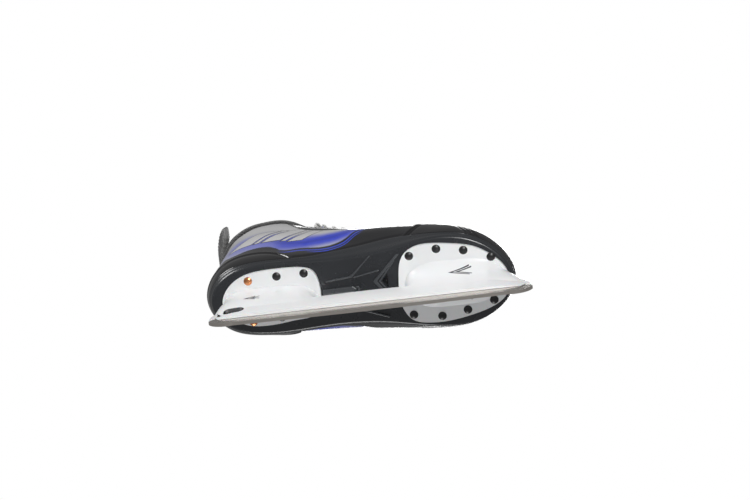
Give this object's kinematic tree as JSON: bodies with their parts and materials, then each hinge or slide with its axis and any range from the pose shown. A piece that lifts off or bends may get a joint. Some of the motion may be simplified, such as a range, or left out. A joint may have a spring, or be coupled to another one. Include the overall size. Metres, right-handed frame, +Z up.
{
  "type": "ice hockey skate",
  "caption": "Right ice hockey skate: riveted white blade holder with a removable steel runner, composite outsole, stiff laced boot and tendon guard.",
  "frame": {"origin": "the runner's lowest point, where it touches the ice", "axes": "+X to the toe, +Y to the medial side of the foot, +Z up"},
  "size_m": [0.3054, 0.0938, 0.2882],
  "materials": {
    "holder_white": "moulded nylon, satin to gloss",
    "runner_steel": "ground and polished stainless",
    "lever_black": "moulded",
    "small_steel": "plain",
    "rivet_black": "black, satin",
    "rivet_copper": "bare copper, polished",
    "outsole_composite": "dark grey composite, satin",
    "board_fibre": "pressed fibre",
    "footbed_foam": "foam with a textile top",
    "quarter_skin": "printed film over composite",
    "stay_fabric": "ribbed",
    "counter_gloss": "gloss black",
    "toe_cap_black": "satin black",
    "liner_fabric": "brushed microfibre",
    "facing_synthetic": "synthetic leather",
    "binding_knit": "ribbed knit",
    "eyelet_black": "black",
    "tongue_felt": "white felt, dark outer skin",
    "guard_plastic": "ribbed",
    "lace_white": "waxed, with coloured flecks",
    "aglet_clear": "clear film"
  },
  "bodies": {
    "boot": {"holder": "holder_white", "lever_pin": "small_steel", "lever_spring": "small_steel", "front_rivets_lateral": "rivet_black", "front_rivets_medial": "rivet_black", "heel_rivets": "rivet_black", "copper_rivets": "rivet_copper", "rivet_washers": "small_steel", "outsole": "outsole_composite", "insole_board": "board_fibre", "footbed": "footbed_foam", "quarter_lateral": "quarter_skin", "quarter_medial": "quarter_skin", "back_stay": "stay_fabric", "heel_counter": "counter_gloss", "toe_cap": "toe_cap_black", "liner_lateral": "liner_fabric", "liner_medial": "liner_fabric", "ankle_pad_lateral": "liner_fabric", "ankle_pad_medial": "liner_fabric", "facing_lateral": "facing_synthetic", "facing_medial": "facing_synthetic", "collar_binding": "binding_knit", "eyelets_lateral": "eyelet_black", "eyelets_medial": "eyelet_black", "tongue": "tongue_felt", "lace": "lace_white", "aglets": "aglet_clear"},
    "runner": {"runner": "runner_steel"},
    "lock_lever": {"lock_lever": "lever_black"},
    "tongue_top": {"tongue_top": "tongue_felt"},
    "tendon_guard": {"tendon_guard": "guard_plastic"}
  },
  "joints": [
    {"name": "runner_drop", "type": "hinge", "parent": "boot", "child": "runner", "pos_m": [0.104, 0, 0.029], "axis": [0, -1, 0], "range_deg": [0, 2]},
    {"name": "lever_release", "type": "hinge", "parent": "boot", "child": "lock_lever", "pos_m": [-0.12, 0, 0.041], "axis": [0, -1, 0], "range_deg": [0, 26.1], "stiffness_Nm_per_rad": 0.03, "springref_deg": -34.38},
    {"name": "tongue_fold", "type": "hinge", "parent": "boot", "child": "tongue_top", "pos_m": [-0.0539, 0, 0.22947], "axis": [0, 1, 0], "range_deg": [0, 50]},
    {"name": "tendon_guard_flex", "type": "hinge", "parent": "boot", "child": "tendon_guard", "pos_m": [-0.14923, 0, 0.19958], "axis": [0, -1, 0], "range_deg": [-4, 18], "stiffness_Nm_per_rad": 2}
  ],
  "couplings": [
    {"joint": "lever_release", "follows": "runner_drop", "ratio": 13}
  ]
}
